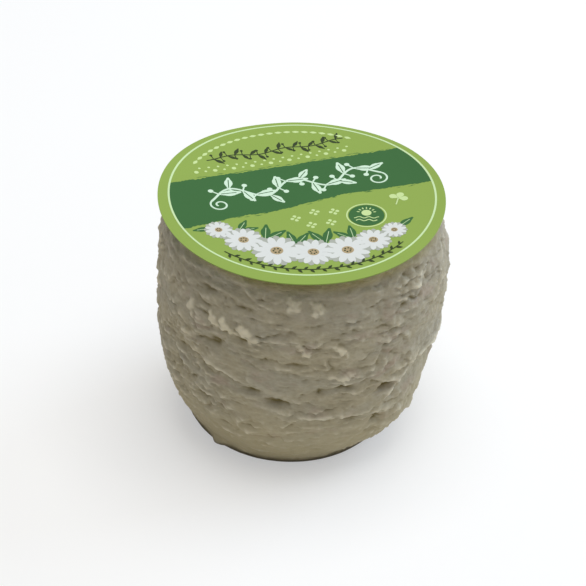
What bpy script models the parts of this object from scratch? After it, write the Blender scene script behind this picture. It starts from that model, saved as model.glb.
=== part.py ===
"""A small farmhouse goat cheese, barrel-shaped and leaning a little, with a round paper label on its top.

Metres, +Z up. The origin is the middle of the flat base, and the side that shows in front faces -Y.
"""

import math
import random

import bmesh
import bpy
from mathutils import Vector, noise

# The cheese: a turned outline from the flat base to the flat top, as (radius, height).
OUTLINE = (
    (0.0200, 0.0000),
    (0.0222, 0.0008),
    (0.0254, 0.0052),
    (0.0284, 0.0114),
    (0.0301, 0.0176),
    (0.0309, 0.0238),
    (0.0312, 0.0300),
    (0.0313, 0.0366),
    (0.0311, 0.0428),
    (0.0297, 0.0492),
    (0.0280, 0.0526),
    (0.0262, 0.0541),
    (0.0248, 0.0544),
)
CHEESE_HEIGHT = OUTLINE[-1][1]
BELLY_RADIUS = 0.0312
LEAN = 0.0312
OUTLINE_STEP = 0.00152
OUTLINE_SAMPLES = 40
TURN_STEPS = 120
SHARP_ANGLE = math.radians(50.0)

# The label: a flat paper disc laid a little off the middle of the top.
LABEL_RADIUS = 0.0300
LABEL_THICKNESS = 0.0003
LABEL_GAP = 0.0003
LABEL_OFFSET = 0.00063
LABEL_STEPS = 96

# The rind's relief lies a little inside the outline, so that its crests reach it,
# and dies out in these heights at the base's and the top's edges.
RELIEF_INSET = 0.0004
BASE_FADE = 0.0035
TOP_FADE = 0.0045

# Slow swells of the whole side.
SWELL_SIZE = 0.017
SWELL_DEPTH = 0.0007
SWELL_SHIFT = Vector((2.7, 0.4, 1.9))

# Uneven layers left by the ladle. They wander up and down, ripple, and fade out in patches.
LAYER_PITCH = 0.0062
LAYER_LENGTH = 0.0150
LAYER_DEPTH = 0.0011
LAYER_MEAN = 0.4
LAYER_LIP = 0.24
LAYER_WANDER = 0.75
LAYER_RIPPLE = 0.2
LAYER_RIPPLE_RATE = 2.5
LAYER_PATCHES = (-0.25, 0.45)
LAYER_PATCH_SHIFT = Vector((7.1, 3.3, 5.7))

# Low domes of single curds, warped out of their even grid.
CURD_LENGTH = 0.0068
CURD_HEIGHT = 0.0042
CURD_DEPTH = 0.0006
CURD_MEAN = 0.45
CURD_WARP = 0.35
CURD_WARP_RATE = 0.8
CURD_WARP_SEED = 1795814999

# Torn pits: angle in degrees round from +X, height, half length, half height, depth.
PITS = (
    (-126.0, 0.0370, 0.0026, 0.0013, 0.0015),
    (-107.5, 0.0270, 0.0018, 0.0011, 0.0010),
    (-98.0, 0.0248, 0.0025, 0.0013, 0.0014),
    (-112.0, 0.0390, 0.0014, 0.0011, 0.0007),
    (-89.5, 0.0344, 0.0027, 0.0011, 0.0007),
    (-130.0, 0.0186, 0.0022, 0.0011, 0.0009),
    (-131.0, 0.0475, 0.0022, 0.0011, 0.0007),
    (-114.0, 0.0465, 0.0022, 0.0011, 0.0006),
    (-80.5, 0.0270, 0.0015, 0.0011, 0.0008),
    (-51.0, 0.0242, 0.0025, 0.0012, 0.0012),
    (-53.5, 0.0154, 0.0020, 0.0014, 0.0012),
    (-145.0, 0.0238, 0.0030, 0.0012, 0.0010),
    (-101.5, 0.0350, 0.0018, 0.0011, 0.0006),
    (-66.0, 0.0180, 0.0030, 0.0011, 0.0006),
    (-47.0, 0.0300, 0.0030, 0.0011, 0.0007),
)

# Raised curds that stayed whole: angle, height, half length, half height, rise.
LUMPS = (
    (-126.0, 0.0430, 0.0018, 0.0013, 0.0010),
    (-119.5, 0.0416, 0.0020, 0.0013, 0.0011),
    (-111.0, 0.0420, 0.0017, 0.0012, 0.0010),
    (-138.0, 0.0410, 0.0022, 0.0019, 0.0008),
    (-94.0, 0.0485, 0.0025, 0.0014, 0.0007),
    (-84.0, 0.0475, 0.0020, 0.0012, 0.0007),
    (-87.5, 0.0380, 0.0015, 0.0011, 0.0008),
    (-75.5, 0.0385, 0.0020, 0.0009, 0.0008),
    (-70.0, 0.0305, 0.0024, 0.0009, 0.0009),
    (-38.0, 0.0485, 0.0028, 0.0013, 0.0007),
    (-38.0, 0.0120, 0.0100, 0.0070, 0.0011),
)

# Long folds, proud above their line and hollow below it: first angle and height, last angle and height, drop.
FOLDS = (
    (-138.0, 0.0316, -113.0, 0.0282, 0.0009),
    (-47.0, 0.0228, -38.0, 0.0272, 0.0013),
    (-40.0, 0.0272, -14.0, 0.0250, 0.0015),
    (-76.0, 0.0284, -60.0, 0.0298, 0.0009),
    (-97.0, 0.0330, -80.0, 0.0318, 0.0007),
    (-88.0, 0.0208, -62.0, 0.0190, 0.0008),
    (-136.0, 0.0212, -124.0, 0.0208, 0.0009),
    (-160.0, 0.0300, -142.0, 0.0276, 0.0009),
)
FOLD_ABOVE = 0.0026
FOLD_BELOW = 0.0034
FOLD_LIP = 0.0018
FOLD_CREST = 0.45
FOLD_RUNOUT = 0.15
FOLD_WAVER = 0.0005
FOLD_WAVE = 0.0045

# The rest of the side, all round the back, has more of the same, scattered by a seeded draw.
SCATTER_SEED = 11
SCATTER_ARC = (-8.0, 196.0)
SCATTER_HEIGHTS = (0.009, 0.049)
SCATTER_PITS = 22
PIT_SIZES = ((0.0014, 0.0028), (0.0010, 0.0014), (0.0007, 0.0013))
SCATTER_LUMPS = 16
LUMP_SIZES = ((0.0016, 0.0026), (0.0012, 0.0017), (0.0006, 0.0010))
SCATTER_FOLDS = 11
FOLD_TURN = (14.0, 27.0)
FOLD_RISE = (-0.004, 0.003)
FOLD_DROP = (0.0007, 0.0012)

# Colours and roughness of the two pieces.
RIND_COLOUR = (0.50, 0.46, 0.35)
RIND_ROUGHNESS = 0.65
PAPER_COLOUR = (0.30, 0.42, 0.10)
PAPER_ROUGHNESS = 0.45


def clear_scene():
    """Removes whatever the scene holds."""
    for thing in list(bpy.data.objects):
        bpy.data.objects.remove(thing, do_unlink=True)


def make_collection(name):
    """A new collection in the scene."""
    collection = bpy.data.collections.new(name)
    bpy.context.scene.collection.children.link(collection)
    return collection


def make_material(name, colour, roughness):
    """A plain Principled material."""
    material = bpy.data.materials.new(name)
    material.use_nodes = True
    shader = material.node_tree.nodes["Principled BSDF"]
    shader.inputs["Base Color"].default_value = (*colour, 1.0)
    shader.inputs["Roughness"].default_value = roughness
    shader.inputs["Metallic"].default_value = 0.0
    return material


def smoothstep(low, high, value):
    """0 below low, 1 above high, and an even ramp between them."""
    share = min(max((value - low) / (high - low), 0.0), 1.0)
    return share * share * (3.0 - 2.0 * share)


def curve_point(before, start, end, after, share):
    """A point of the Catmull-Rom curve from start to end."""
    square, cube = share * share, share * share * share
    return 0.5 * (
        2.0 * start
        + (end - before) * share
        + (2.0 * before - 5.0 * start + 4.0 * end - after) * square
        + (3.0 * start - before - 3.0 * end + after) * cube
    )


def smooth_outline(step):
    """The side's outline as points about one step apart, from the top down to the base."""
    knots = [Vector((radius, 0.0, height)) for radius, height in reversed(OUTLINE)]
    ends = [2.0 * knots[0] - knots[1], *knots, 2.0 * knots[-1] - knots[-2]]
    fine = []
    for before, start, end, after in zip(ends, ends[1:], ends[2:], ends[3:]):
        fine += [curve_point(before, start, end, after, i / OUTLINE_SAMPLES) for i in range(OUTLINE_SAMPLES)]
    fine.append(knots[-1])
    length = sum((b - a).length for a, b in zip(fine, fine[1:]))
    pieces = round(length / step)
    points, walked, target = [fine[0]], 0.0, length / pieces
    for a, b in zip(fine, fine[1:]):
        run = (b - a).length
        while run > 0.0 and walked + run >= target and len(points) < pieces:
            points.append(a.lerp(b, (target - walked) / run))
            target += length / pieces
        walked += run
    return [*points, fine[-1]]


def scattered_features():
    """Every pit, lump and fold: those of the front, and more of the same form drawn for the back."""
    draw = random.Random(SCATTER_SEED)

    def place():
        return draw.uniform(*SCATTER_ARC), draw.uniform(*SCATTER_HEIGHTS)

    def ovals(count, sizes):
        return [(*place(), *(draw.uniform(*span) for span in sizes)) for _ in range(count)]

    pits = ovals(SCATTER_PITS, PIT_SIZES)
    lumps = ovals(SCATTER_LUMPS, LUMP_SIZES)
    folds = []
    for _ in range(SCATTER_FOLDS):
        angle, height = place()
        last = angle + draw.uniform(*FOLD_TURN)
        folds.append((angle, height, last, height + draw.uniform(*FOLD_RISE), draw.uniform(*FOLD_DROP)))
    return [*PITS, *pits], [*LUMPS, *lumps], [*FOLDS, *folds]


def turned_by(angle, other):
    """The turn in degrees from other to angle, the short way round."""
    return (angle - other + 180.0) % 360.0 - 180.0


def mound(point, angle, feature):
    """How far inside an oval feature a point of the side lies: 1 at its middle, 0 outside."""
    centre, height, half_length, half_height, _ = feature
    along = math.radians(turned_by(angle, centre)) * BELLY_RADIUS / half_length
    up = (point.z - height) / half_height
    return math.exp(-(along * along + up * up))


def fold_offset(point, angle, fold):
    """The swell above a fold's line and the hollow below it."""
    first, low, last, high, drop = fold
    share = turned_by(angle, first) / (last - first)
    ends = smoothstep(-FOLD_RUNOUT, FOLD_RUNOUT, share) * smoothstep(-FOLD_RUNOUT, FOLD_RUNOUT, 1.0 - share)
    above = point.z - low - (high - low) * share - FOLD_WAVER * noise.noise(point / FOLD_WAVE)
    if above > 0.0:
        return drop * ends * FOLD_CREST * math.exp(-above / FOLD_ABOVE)
    return drop * ends * (FOLD_CREST - smoothstep(0.0, FOLD_LIP, -above)) * math.exp(above / FOLD_BELOW)


def layer_offset(point):
    """Broken layers, each proud at its lower edge, where it hangs over the one below."""
    place = Vector((point.x / LAYER_LENGTH, point.y / LAYER_LENGTH, point.z / LAYER_PITCH))
    ripple = LAYER_RIPPLE * noise.noise(place * LAYER_RIPPLE_RATE)
    phase = place.z + LAYER_WANDER * noise.noise(place) + ripple
    rise = phase - math.floor(phase)
    lip = smoothstep(0.0, LAYER_LIP, rise) * (1.0 - rise)
    strength = smoothstep(*LAYER_PATCHES, noise.noise(place + LAYER_PATCH_SHIFT))
    return LAYER_DEPTH * strength * (lip - LAYER_MEAN)


def curd_offset(point):
    """The low domes of single curds, a little longer than they are high."""
    place = Vector((point.x / CURD_LENGTH, point.y / CURD_LENGTH, point.z / CURD_HEIGHT))
    place += CURD_WARP * noise.noise_vector(place * CURD_WARP_RATE)
    nearest = noise.voronoi(place)[0][0]
    return CURD_DEPTH * (CURD_MEAN - nearest)


def relief(point, features):
    """How far the rind stands out from the turned shape at a point of its side."""
    pits, lumps, folds = features
    angle = math.degrees(math.atan2(point.y, point.x))
    offset = SWELL_DEPTH * noise.noise(point / SWELL_SIZE + SWELL_SHIFT) - RELIEF_INSET
    offset += layer_offset(point) + curd_offset(point)
    offset -= sum(pit[-1] * mound(point, angle, pit) for pit in pits)
    offset += sum(lump[-1] * mound(point, angle, lump) for lump in lumps)
    offset += sum(fold_offset(point, angle, fold) for fold in folds)
    fade = smoothstep(0.0, BASE_FADE, point.z) * smoothstep(0.0, TOP_FADE, CHEESE_HEIGHT - point.z)
    return offset * fade


def turned_side():
    """The side as an open mesh: the outline turned about Z by a Screw modifier."""
    outline = smooth_outline(OUTLINE_STEP)
    mesh = bpy.data.meshes.new("outline")
    mesh.from_pydata(outline, [(i, i + 1) for i in range(len(outline) - 1)], [])
    turned = bpy.data.objects.new("outline", mesh)
    bpy.context.scene.collection.objects.link(turned)
    screw = turned.modifiers.new("Screw", "SCREW")
    screw.angle = 2.0 * math.pi
    screw.steps = TURN_STEPS
    screw.render_steps = TURN_STEPS
    screw.use_merge_vertices = True
    screw.merge_threshold = 0.0001
    bpy.context.view_layer.update()
    side = bpy.data.meshes.new_from_object(turned.evaluated_get(bpy.context.evaluated_depsgraph_get()))
    bpy.data.objects.remove(turned)
    return side


def build_cheese(collection):
    """The whole cheese: the turned side with its relief, closed by the flat base and top."""
    noise.seed_set(CURD_WARP_SEED)
    features = scattered_features()
    mesh = turned_side()
    mesh.name = "cheese"
    body = bmesh.new()
    body.from_mesh(mesh)
    bmesh.ops.holes_fill(body, edges=body.edges, sides=0)
    body.normal_update()
    offsets = {
        vertex: vertex.normal * relief(vertex.co, features)
        for vertex in body.verts
        if 0.0 < vertex.co.z < CHEESE_HEIGHT
    }
    for vertex, offset in offsets.items():
        vertex.co += offset
    for vertex in body.verts:
        vertex.co.x += LEAN * vertex.co.z
    bmesh.ops.recalc_face_normals(body, faces=body.faces)
    body.to_mesh(mesh)
    body.free()
    mesh.shade_smooth()
    mesh.set_sharp_from_angle(angle=SHARP_ANGLE)
    cheese = bpy.data.objects.new("cheese", mesh)
    cheese.data.materials.append(make_material("cheese_rind", RIND_COLOUR, RIND_ROUGHNESS))
    collection.objects.link(cheese)
    return cheese


def build_label(collection):
    """The paper label: a flat disc that overhangs the rounded rim of the top."""
    mesh = bpy.data.meshes.new("label")
    disc = bmesh.new()
    bmesh.ops.create_cone(
        disc,
        cap_ends=True,
        segments=LABEL_STEPS,
        radius1=LABEL_RADIUS,
        radius2=LABEL_RADIUS,
        depth=LABEL_THICKNESS,
    )
    disc.to_mesh(mesh)
    disc.free()
    label = bpy.data.objects.new("label", mesh)
    label.location = (LABEL_OFFSET, 0.0, CHEESE_HEIGHT + LABEL_GAP + LABEL_THICKNESS / 2.0)
    label.data.materials.append(make_material("label_paper", PAPER_COLOUR, PAPER_ROUGHNESS))
    collection.objects.link(label)
    return label


def main():
    """Builds the cheese and its label."""
    clear_scene()
    collection = make_collection("goat_cheese")
    build_cheese(collection)
    build_label(collection)
    bpy.context.view_layer.update()


main()
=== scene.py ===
"""Looks of a small farmhouse goat cheese: a wrinkled, torn rind and a printed paper label on its top.

Metres, +Z up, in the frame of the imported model. The side that shows in front faces -Y.
"""

import logging
import math
import random
from collections.abc import Callable, Iterator, Sequence
from contextlib import contextmanager
from dataclasses import dataclass, field
from enum import Enum

import bpy
import numpy as np
from mathutils import Matrix, Vector, noise


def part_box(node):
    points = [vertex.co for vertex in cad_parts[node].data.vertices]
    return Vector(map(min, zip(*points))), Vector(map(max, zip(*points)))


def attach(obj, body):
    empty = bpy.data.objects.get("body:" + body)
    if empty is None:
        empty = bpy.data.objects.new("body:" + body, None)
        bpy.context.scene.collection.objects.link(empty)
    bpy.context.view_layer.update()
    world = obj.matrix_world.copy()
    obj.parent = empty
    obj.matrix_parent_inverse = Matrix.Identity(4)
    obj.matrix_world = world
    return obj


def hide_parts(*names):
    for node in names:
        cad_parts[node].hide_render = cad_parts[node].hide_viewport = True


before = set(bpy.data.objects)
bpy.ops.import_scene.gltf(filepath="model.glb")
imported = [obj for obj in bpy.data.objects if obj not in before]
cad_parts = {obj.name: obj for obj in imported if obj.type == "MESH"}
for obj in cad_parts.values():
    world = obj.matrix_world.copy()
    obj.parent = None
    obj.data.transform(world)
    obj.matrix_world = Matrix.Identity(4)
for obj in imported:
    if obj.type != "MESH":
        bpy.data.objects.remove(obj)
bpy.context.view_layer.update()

LOG = logging.getLogger("goat_cheese")
MM = 0.001
BODY = "root"
Colour = tuple[float, float, float]
Span = tuple[float, float]
Feature = tuple[float, float, float, float, float]
Links = dict[str | int, object]
Socket = bpy.types.NodeSocket


class Slot(Enum):
    """The record's material slots."""

    RIND = "cheese_rind"
    PAPER = "label_paper"


class Layer(Enum):
    """How far each ink lies above the paper, in metres, in the order of printing."""

    FIELD = 0.010 * MM
    MOTIF = 0.022 * MM
    DETAIL = 0.034 * MM
    TOP = 0.060 * MM
    LAST = 0.084 * MM


def smoothstep(low: float, high: float, value: float) -> float:
    """An even ramp from 0 to 1.

    Args:
        low: where the ramp starts.
        high: where the ramp ends.
        value: the place on it.

    Returns:
        0 below low, 1 above high, and the ramp between them.
    """
    share = min(max((value - low) / (high - low), 0.0), 1.0)
    return share * share * (3.0 - 2.0 * share)


def turn_past(start: float, turn: float) -> float:
    """How far one angle lies past another, in degrees from -180 to 180."""
    return (turn - start + 180.0) % 360.0 - 180.0


def catmull_rom(knots: Sequence[Vector], samples: int) -> list[Vector]:
    """A smooth open curve through all the knots.

    Args:
        knots: the points that the curve passes.
        samples: how many points to make between two knots.

    Returns:
        The curve's points, both end knots included.
    """
    ends = [2.0 * knots[0] - knots[1], *knots, 2.0 * knots[-1] - knots[-2]]
    curve = []
    for before, start, end, after in zip(ends, ends[1:], ends[2:], ends[3:]):
        for i in range(samples):
            share = i / samples
            curve.append(
                0.5
                * (
                    2.0 * start
                    + (end - before) * share
                    + (2.0 * before - 5.0 * start + 4.0 * end - after) * share**2
                    + (3.0 * start - before - 3.0 * end + after) * share**3
                )
            )
    return [*curve, knots[-1].copy()]


def evenly(curve: Sequence[Vector], step: float) -> list[Vector]:
    """The same curve with its points a step apart.

    Args:
        curve: the curve's points.
        step: the wanted distance between two points.

    Returns:
        The new points, both ends included.
    """
    lengths = [(b - a).length for a, b in zip(curve, curve[1:])]
    pieces = max(1, round(sum(lengths) / step))
    stride = sum(lengths) / pieces
    points, walked = [curve[0].copy()], 0.0
    for a, b, run in zip(curve, curve[1:], lengths):
        while len(points) < pieces and walked + run >= stride * len(points):
            points.append(a.lerp(b, (stride * len(points) - walked) / run))
        walked += run
    return [*points, curve[-1].copy()]


def select_none() -> None:
    """Deselects every object and leaves none active."""
    bpy.ops.object.select_all(action="DESELECT")
    bpy.context.view_layer.objects.active = None


def select_only(piece: bpy.types.Object) -> None:
    """Makes a piece the only selected object and the active one."""
    select_none()
    piece.select_set(True)
    bpy.context.view_layer.objects.active = piece


@contextmanager
def editing(piece: bpy.types.Object) -> Iterator[None]:
    """Edit mode on a piece with all of it selected, and object mode again afterwards."""
    select_only(piece)
    bpy.ops.object.mode_set(mode="EDIT")
    bpy.ops.mesh.select_all(action="SELECT")
    try:
        yield
    finally:
        bpy.ops.object.mode_set(mode="OBJECT")


def apply_modifier(piece: bpy.types.Object, kind: str, **settings: object) -> None:
    """Adds a modifier with its settings and applies it.

    Args:
        piece: the object to change.
        kind: the modifier's type.
        settings: the modifier's properties by name.
    """
    select_only(piece)
    bpy.ops.object.modifier_add(type=kind)
    modifier = piece.modifiers[-1]
    for name, value in settings.items():
        setattr(modifier, name, value)
    bpy.ops.object.modifier_apply(modifier=modifier.name)


def line_piece(name: str, lines: Sequence[Sequence[Vector]], radius: float = 0.0) -> bpy.types.Object:
    """Lines through points, made a mesh.

    Args:
        name: the piece's name.
        lines: one or more rows of points.
        radius: half the stroke's width, or 0 for bare edges.

    Returns:
        The new mesh object.
    """
    curve = bpy.data.curves.new(name, "CURVE")
    curve.dimensions = "3D"
    curve.bevel_depth = radius
    curve.bevel_resolution = 1
    curve.use_fill_caps = radius > 0.0
    for points in lines:
        spline = curve.splines.new("POLY")
        spline.points.add(len(points) - 1)
        for knot, place in zip(spline.points, points):
            knot.co = (*place, 1.0)
    piece = bpy.data.objects.new(name, curve)
    bpy.context.scene.collection.objects.link(piece)
    select_only(piece)
    bpy.ops.object.convert(target="MESH")
    return bpy.context.view_layer.objects.active


def vertex_rows(mesh: bpy.types.Mesh, name: str) -> np.ndarray:
    """What a mesh's points have by that name, such as co or normal, as rows of three numbers."""
    values = np.empty(len(mesh.vertices) * 3)
    mesh.vertices.foreach_get(name, values)
    return values.reshape(-1, 3)


def hand_over(piece: bpy.types.Object, material: bpy.types.Material) -> None:
    """Gives a finished piece its material and body, and logs it.

    Args:
        piece: the finished object.
        material: the material that it wears.
    """
    piece.data.materials.clear()
    piece.data.materials.append(material)
    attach(piece, BODY)
    LOG.info("%s: %d faces", piece.name, len(piece.data.polygons))


@dataclass(frozen=True)
class Grain:
    """A noise texture: how many grains go in a metre, its octaves, and what becomes 0 and 1."""

    scale: float
    detail: float = 3.0
    span: Span | None = None
    roughness: float = 0.55


class NodeSheet:
    """A short way to write a material's or a group's nodes."""

    def __init__(self, tree: bpy.types.NodeTree) -> None:
        """Keeps the tree that the nodes go into."""
        self.tree = tree

    def feed(self, node: bpy.types.Node, links: Links) -> None:
        """Sets or links a node's inputs.

        Args:
            node: the node.
            links: the inputs' names or numbers, each with a value or with the socket that feeds it.
        """
        for key, value in links.items():
            socket = node.inputs[key]
            if isinstance(value, Socket):
                self.tree.links.new(value, socket)
            elif socket.type == "RGBA":
                socket.default_value = (*value, 1.0)
            else:
                socket.default_value = value

    def add(self, kind: str, links: Links | None = None, **settings: object) -> bpy.types.Node:
        """A new node with its inputs set or linked.

        Args:
            kind: the node's type name.
            links: what its inputs get.
            settings: the node's own properties.

        Returns:
            The new node.
        """
        node = self.tree.nodes.new(kind)
        for name, value in settings.items():
            setattr(node, name, value)
        self.feed(node, links or {})
        return node

    def math(self, operation: str, *values: object) -> Socket:
        """The result of an arithmetic operation on values or sockets."""
        return self.add("ShaderNodeMath", dict(enumerate(values)), operation=operation).outputs[0]

    def mixed(self, factor: object, low: object, high: object, blend: str = "MIX") -> Socket:
        """A colour mixed of two.

        Args:
            factor: a value or socket, 0 for the low colour and 1 for the high one.
            low: a colour or socket.
            high: a colour or socket.
            blend: the blend type.

        Returns:
            The mixed colour's socket.
        """
        links = {0: factor, 6: low, 7: high}
        return self.add("ShaderNodeMix", links, data_type="RGBA", blend_type=blend).outputs[2]

    def ramped(self, value: Socket, low: float, high: float) -> Socket:
        """A value stretched from low..high to 0..1, with soft ends."""
        links = {"Value": value, "From Min": low, "From Max": high}
        return self.add("ShaderNodeMapRange", links, interpolation_type="SMOOTHSTEP").outputs["Result"]

    def noise(self, place: Socket, grain: Grain) -> Socket:
        """A noise texture's value at a place, stretched to the grain's own range."""
        links = {"Scale": grain.scale, "Detail": grain.detail, "Roughness": grain.roughness}
        value = self.add("ShaderNodeTexNoise", {"Vector": place} | links).outputs["Fac"]
        return self.ramped(value, *grain.span) if grain.span else value


def new_material(name: str) -> tuple[bpy.types.Material, NodeSheet, bpy.types.Node]:
    """A new material, its nodes and its Principled shader."""
    material = bpy.data.materials.new(name)
    material.use_nodes = True
    return material, NodeSheet(material.node_tree), material.node_tree.nodes["Principled BSDF"]


def paper_grain_group() -> bpy.types.NodeTree:
    """The group that every printed finish shares: paper fibre and the slight unevenness of its ink.

    Returns:
        The group, with the outputs Colour and Height.
    """
    group = bpy.data.node_groups.new("paper_grain", "ShaderNodeTree")
    group.interface.new_socket("Colour", in_out="INPUT", socket_type="NodeSocketColor")
    group.interface.new_socket("Unevenness", in_out="INPUT", socket_type="NodeSocketFloat")
    group.interface.new_socket("Colour", in_out="OUTPUT", socket_type="NodeSocketColor")
    group.interface.new_socket("Height", in_out="OUTPUT", socket_type="NodeSocketFloat")
    sheet = NodeSheet(group)
    given = sheet.add("NodeGroupInput")
    place = sheet.add("ShaderNodeTexCoord").outputs["Object"]
    cloud = sheet.noise(place, Grain(70.0, 2.0))
    fibre = sheet.noise(place, Grain(2600.0, 4.0))
    cloud_share, fibre_share, darkening = 0.6, 0.4, (0.55, 0.60, 0.50)
    grain = sheet.math("MULTIPLY_ADD", fibre, fibre_share, sheet.math("MULTIPLY", cloud, cloud_share))
    share = sheet.math("MULTIPLY", grain, given.outputs["Unevenness"])
    darker = sheet.mixed(1.0, given.outputs["Colour"], darkening, "MULTIPLY")
    shaded = sheet.mixed(share, given.outputs["Colour"], darker)
    sheet.add("NodeGroupOutput", {"Colour": shaded, "Height": fibre})
    return group


@dataclass(frozen=True)
class PrintFinish:
    """Coated paper or an ink printed on it."""

    name: str
    colour: Colour
    unevenness: float = 0.22
    roughness: float = 0.46
    specular: float = 0.25
    bump: float = 0.05
    bump_height: float = 0.05 * MM

    def material(self, grain: bpy.types.NodeTree) -> bpy.types.Material:
        """The finish as a material.

        Args:
            grain: the shared paper grain group.

        Returns:
            The new material.
        """
        material, sheet, shader = new_material(self.name)
        group = sheet.add("ShaderNodeGroup", node_tree=grain)
        sheet.feed(group, {"Colour": self.colour, "Unevenness": self.unevenness})
        relief = {"Height": group.outputs["Height"], "Strength": self.bump, "Distance": self.bump_height}
        bump = sheet.add("ShaderNodeBump", relief)
        sheet.feed(shader, {
            "Base Color": group.outputs["Colour"], "Normal": bump.outputs["Normal"],
            "Roughness": self.roughness, "Specular IOR Level": self.specular,
        })
        return material


@dataclass(frozen=True)
class RindFinish:
    """The cheese's rind: ivory-beige. Its hollows are more olive and carry painted shade, and its crests are
    paler with painted highlights. There is painted shade low on the belly, on its upper side and under the
    label's edge, and a painted contact shadow at its foot.

    Each share tells how strongly the colour that it goes with shows. A pair of heights tells where a
    colour begins and where it is full.
    """

    name: str = "cheese_rind"
    flattening: Colour = (1.0, 1.0, 1.9)
    warm: Colour = (0.452, 0.402, 0.286)
    cool: Colour = (0.424, 0.390, 0.300)
    cool_grain: Grain = Grain(75.0, 3.0, (0.36, 0.64))
    rosy: Colour = (0.436, 0.364, 0.284)
    rosy_grain: Grain = Grain(150.0, 4.0, (0.54, 0.72))
    cloud: Colour = (0.86, 0.85, 0.82)
    cloud_grain: Grain = Grain(230.0, 3.0, (0.30, 0.70))
    speckle: Colour = (0.88, 0.87, 0.84)
    speckle_grain: Grain = Grain(900.0, 4.0, (0.30, 0.70))
    # Low on the belly the rind is warmer and darker; the darkening is painted shade towards the floor.
    low: Colour = (0.446, 0.387, 0.244)
    low_tone_and_shade_heights: Span = (26.0 * MM, 6.0 * MM)
    low_tone_and_shade_share: float = 0.80
    # Painted shade on the upper side, standing in for the shadow of the label's overhang.
    high: Colour = (0.310, 0.276, 0.205)
    upper_shade_heights: Span = (38.0 * MM, 49.0 * MM)
    upper_shade_share: float = 0.32
    # Just under the label: an olive-yellow tint of the rind together with painted shadow from the label's
    # edge.
    rim: Colour = (0.305, 0.230, 0.044)
    rim_tint_and_shadow_heights: Span = (50.5 * MM, 54.0 * MM)
    # Painted shade in the hollows, where the rind is also more olive.
    hollow_olive_and_shade: Colour = (0.178, 0.142, 0.052)
    hollow_olive_and_shade_relief: Span = (0.47, 0.08)
    # Paler crests: paler curd tops with a painted highlight on them.
    crest_pale_and_highlight: Colour = (0.690, 0.640, 0.500)
    crest_pale_and_highlight_relief: Span = (0.54, 1.05)
    curd: Colour = (0.640, 0.580, 0.430)
    curd_share: Span = (0.05, 1.05)
    # Painted contact shadow: the lowest millimetres of the rind are darkened where the cheese meets the
    # floor.
    foot_shadow: Colour = (0.105, 0.085, 0.045)
    foot_shadow_heights: Span = (5.1 * MM, 2.8 * MM)
    foot_shadow_waver: float = 2.4 * MM
    foot_shadow_grain: Grain = Grain(160.0)
    bumps: tuple[tuple[Grain, float, float], ...] = (
        (Grain(430.0, 3.0), 0.50, 0.55 * MM), (Grain(1300.0, 5.0), 0.40, 0.25 * MM),
    )
    roughness: float = 0.60
    specular: float = 0.30
    glow_share: float = 0.12
    glow_colour: Colour = (1.0, 0.75, 0.45)
    glow_reach: float = 1.2 * MM

    def colour(self, sheet: NodeSheet, place: Socket, flat: Socket) -> Socket:
        """The rind's colour, with its painted shade, highlights and contact shadow.

        Args:
            sheet: the material's nodes.
            place: the coordinates' socket.
            flat: the coordinates flattened, for blotches that are wider than high.

        Returns:
            The colour's socket.
        """
        body = sheet.mixed(sheet.noise(flat, self.cool_grain), self.warm, self.cool)
        body = sheet.mixed(sheet.noise(flat, self.rosy_grain), body, self.rosy)
        for tint, grain in ((self.cloud, self.cloud_grain), (self.speckle, self.speckle_grain)):
            body = sheet.mixed(sheet.noise(flat, grain), sheet.mixed(1.0, body, tint, "MULTIPLY"), body)
        height = sheet.add("ShaderNodeSeparateXYZ", {"Vector": place}).outputs["Z"]
        # Height bands: warmer tone and painted shade low on the belly, painted shade on the upper side,
        # painted shadow under the label.
        for tint, heights, share in (
            (self.low, self.low_tone_and_shade_heights, self.low_tone_and_shade_share), (self.high, self.upper_shade_heights, self.upper_shade_share),
            (self.rim, self.rim_tint_and_shadow_heights, 1.0),
        ):
            body = sheet.mixed(sheet.math("MULTIPLY", sheet.ramped(height, *heights), share), body, tint)
        # By the relief: painted shade in the hollows and painted highlights on the crests; then the pale
        # curds' own colour.
        for tint, attribute, span in (
            (self.hollow_olive_and_shade, CheeseBody.RELIEF_ATTRIBUTE, self.hollow_olive_and_shade_relief),
            (self.crest_pale_and_highlight, CheeseBody.RELIEF_ATTRIBUTE, self.crest_pale_and_highlight_relief),
            (self.curd, CheeseBody.CURD_ATTRIBUTE, self.curd_share),
        ):
            value = sheet.add("ShaderNodeAttribute", attribute_name=attribute).outputs["Fac"]
            body = sheet.mixed(sheet.ramped(value, *span), body, tint)
        # Painted contact shadow at the foot, its upper edge wavering.
        wavered = sheet.math("MULTIPLY_ADD", sheet.noise(place, self.foot_shadow_grain), self.foot_shadow_waver, height)
        return sheet.mixed(sheet.ramped(wavered, *self.foot_shadow_heights), body, self.foot_shadow)

    def material(self) -> bpy.types.Material:
        """The rind's material.

        Returns:
            The new material, which reads the two mesh attributes that the cheese writes.
        """
        material, sheet, shader = new_material(self.name)
        place = sheet.add("ShaderNodeTexCoord").outputs["Object"]
        flat = sheet.add("ShaderNodeMapping", {"Vector": place, "Scale": self.flattening}).outputs["Vector"]
        normal = {}
        for grain, strength, depth in self.bumps:
            links = {"Height": sheet.noise(flat, grain), "Strength": strength, "Distance": depth}
            normal = {"Normal": sheet.add("ShaderNodeBump", links | normal).outputs["Normal"]}
        sheet.feed(shader, normal | {
            "Base Color": self.colour(sheet, place, flat), "Roughness": self.roughness,
            "Specular IOR Level": self.specular, "Subsurface Weight": self.glow_share,
            "Subsurface Radius": self.glow_colour, "Subsurface Scale": self.glow_reach,
        })
        return material


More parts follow.
